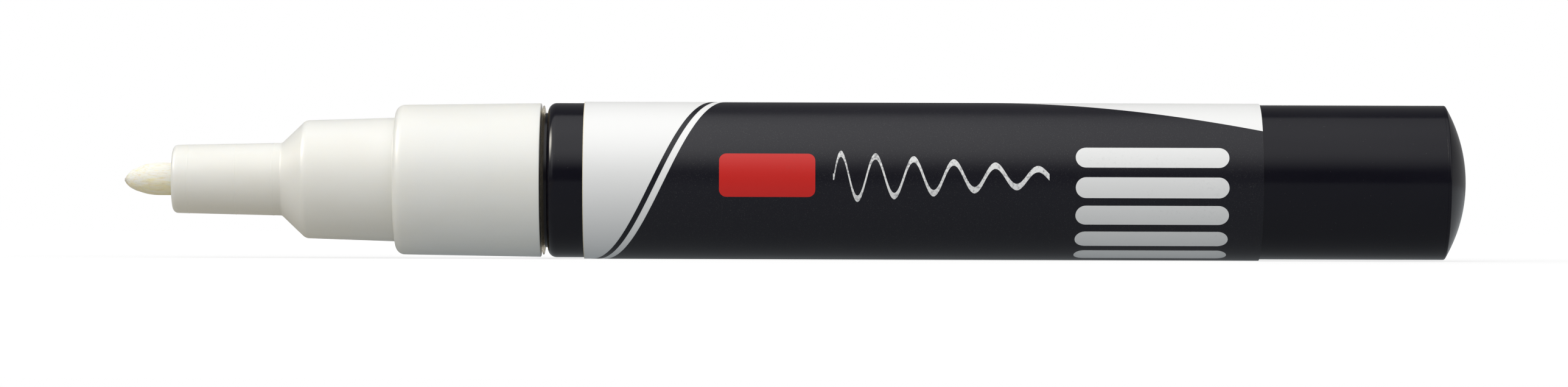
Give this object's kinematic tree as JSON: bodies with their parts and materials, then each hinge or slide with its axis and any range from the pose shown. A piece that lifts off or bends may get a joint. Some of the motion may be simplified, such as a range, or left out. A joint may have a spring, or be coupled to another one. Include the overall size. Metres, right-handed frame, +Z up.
{
  "type": "liquid chalk marker",
  "caption": "Uncapped pump-valve liquid chalk marker: bullet fibre nib, stepped white nose with cap seat, black ink barrel with wrap label and domed tail plug.",
  "frame": {"origin": "on the surface that the marker lies on, under the middle of its length", "axes": "+X along the marker from the nib to the tail, +Z up, label front towards -Y"},
  "size_m": [0.1298, 0.0152, 0.0152],
  "materials": {
    "nib_fibre": "pressed fibre, slightly fuzzy",
    "white_plastic": "satin gloss injection moulding",
    "sealing_rubber": "translucent natural elastomer",
    "seat_rubber": "matt soft ring",
    "natural_plastic": "natural undyed moulding",
    "spring_steel": "drawn stainless wire",
    "black_plastic": "gloss black moulding",
    "label_film": "printed satin film",
    "ball_steel": "polished bearing ball"
  },
  "bodies": {
    "marker_body": {"nose": "white_plastic", "sealing_ring": "sealing_rubber", "valve_seat": "seat_rubber", "valve_housing": "natural_plastic", "valve_spring": "spring_steel", "barrel": "black_plastic", "tail_plug": "black_plastic", "label": "label_film"},
    "nib": {"nib": "nib_fibre"},
    "valve": {"valve_stem": "natural_plastic"},
    "agitator": {"agitator_ball": "ball_steel"}
  },
  "joints": [
    {"name": "nib_press", "type": "slide", "parent": "marker_body", "child": "nib", "axis": [1, 0, 0], "range_m": [0, 0.0025]},
    {"name": "valve_lift", "type": "slide", "parent": "marker_body", "child": "valve", "axis": [1, 0, 0], "range_m": [0, 0.0025], "stiffness_N_per_m": 800, "deforming": ["valve_spring"]},
    {"name": "agitator_roll", "type": "slide", "parent": "marker_body", "child": "agitator", "axis": [1, 0, 0], "range_m": [-0.0367, 0.0367]}
  ],
  "couplings": [
    {"joint": "valve_lift", "follows": "nib_press", "ratio": 1}
  ]
}
